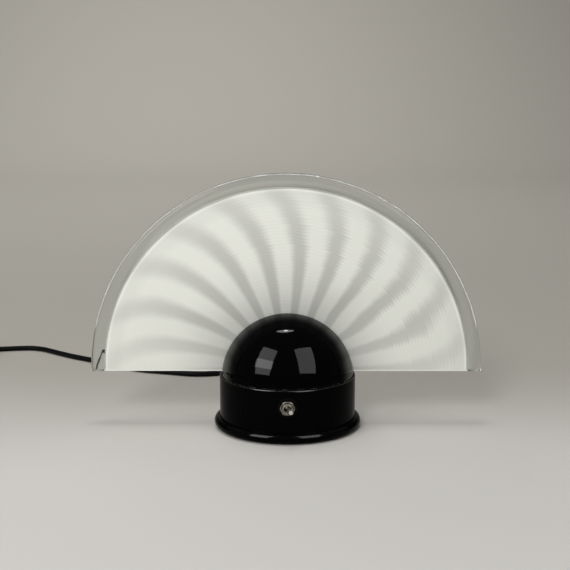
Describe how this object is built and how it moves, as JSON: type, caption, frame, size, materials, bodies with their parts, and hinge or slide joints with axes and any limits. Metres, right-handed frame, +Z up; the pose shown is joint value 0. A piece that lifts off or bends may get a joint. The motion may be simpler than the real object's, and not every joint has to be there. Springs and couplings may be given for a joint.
{
  "type": "art glass table lamp",
  "caption": "Small table lamp: a half disc of white swirled glass with a clear rim stands in the slot of a black dome on a drum base with a toggle switch and a coiled cord.",
  "frame": {"origin": "on the table, under the middle of the drum", "axes": "+Z up, +X to the right along the glass pane seen from the switch side, -Y towards the switch, +Y towards the cord"},
  "size_m": [0.4064, 0.247, 0.1531],
  "materials": {
    "black_enamel": "glossy black enamel on metal",
    "felt": "black felt",
    "steel": "zinc plated",
    "ceramic": "white glazed ceramic",
    "brass": "plain brass",
    "bulb_glass": "clear capsule",
    "wire_metal": "tinned",
    "aged_nickel": "aged nickel plate",
    "black_washer": "black",
    "phenolic": "dark red phenolic",
    "nylon": "nylon",
    "block_plastic": "natural polyamide",
    "wire_brown": "brown insulation",
    "wire_blue": "blue insulation",
    "wire_grey": "grey insulation",
    "cord_black": "satin black jacket",
    "moulded_black": "moulded black",
    "seat_rubber": "black rubber",
    "white_glass": "opal white spun glass with grey rays",
    "clear_glass": "clear fused rim"
  },
  "bodies": {
    "base": {"drum": "black_enamel", "foot_ring": "black_enamel", "foot_pad": "felt", "bottom_plate": "steel", "bottom_screws": "steel", "deck_plate": "steel", "deck_screws": "steel", "standoffs": "steel", "holder_bracket": "steel", "bracket_screws": "steel", "holder_screw": "steel", "block_screw": "steel", "lock_washer": "steel", "lever_pin": "steel", "lamp_holder": "ceramic", "holder_contacts": "brass", "terminal_inserts": "brass", "terminal_screws": "brass", "plug_blades": "brass", "bulb_glass": "bulb_glass", "bulb_filament": "wire_metal", "bulb_pins": "wire_metal", "switch_terminals": "wire_metal", "switch_bushing": "aged_nickel", "switch_nut": "aged_nickel", "face_washer": "black_washer", "switch_body": "phenolic", "terminal_block": "block_plastic", "lead_line": "wire_brown", "lead_switched": "wire_brown", "lead_neutral": "wire_blue", "cord_cores": "wire_grey", "cord_inner": "cord_black", "cord_lead": "cord_black", "cord_coil": "cord_black", "cord_tail": "cord_black", "cord_gland": "moulded_black", "gland_nut": "moulded_black", "plug_body": "moulded_black", "coil_tie": "moulded_black"},
    "dome": {"dome": "black_enamel", "pane_seats": "seat_rubber"},
    "pane": {"pane_core": "white_glass", "pane_rim": "clear_glass"},
    "lever": {"switch_lever": "aged_nickel", "lever_plunger": "nylon"},
    "rocker": {"contact_rocker": "brass"}
  },
  "joints": [
    {"name": "dome_lift", "type": "slide", "parent": "base", "child": "dome", "axis": [0, 0, 1], "range_m": [0, 0.06]},
    {"name": "pane_lift", "type": "slide", "parent": "dome", "child": "pane", "axis": [0, 0, 1], "range_m": [0, 0.045]},
    {"name": "switch_toggle", "type": "hinge", "parent": "base", "child": "lever", "pos_m": [0, -0.0403, 0.022], "axis": [0.0698, 0, 0.9976], "range_deg": [-20, 0]},
    {"name": "contact_rock", "type": "hinge", "parent": "base", "child": "rocker", "pos_m": [0, -0.03175, 0.022], "axis": [0.0698, 0, 0.9976], "range_deg": [0, 16]}
  ],
  "couplings": [
    {"joint": "contact_rock", "follows": "switch_toggle", "ratio": -0.8}
  ]
}
